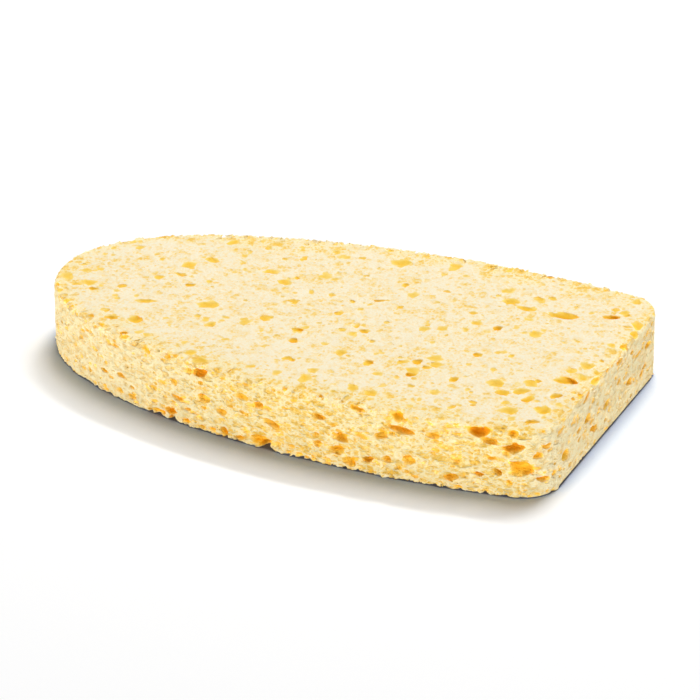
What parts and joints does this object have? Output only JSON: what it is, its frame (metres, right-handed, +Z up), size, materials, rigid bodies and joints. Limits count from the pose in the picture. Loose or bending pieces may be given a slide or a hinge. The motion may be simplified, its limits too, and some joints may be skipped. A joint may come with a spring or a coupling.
{
  "type": "cleaning sponge",
  "caption": "Flat cellulose cleaning sponge with a rounded nose, curved long sides, a square back with rounded corners, and open pores on every side.",
  "frame": {"origin": "centre of the box of the sponge, on the surface that it lies on", "axes": "+X from the rounded nose to the square back, along the length; +Z up, through the thickness; -Y is the long side that faces the viewer"},
  "size_m": [0.152, 0.089, 0.0185],
  "materials": {
    "cellulose_sponge": "matte, porous, pale yellow cellulose foam"
  },
  "bodies": {
    "root": {"sponge": "cellulose_sponge"}
  },
  "joints": []
}
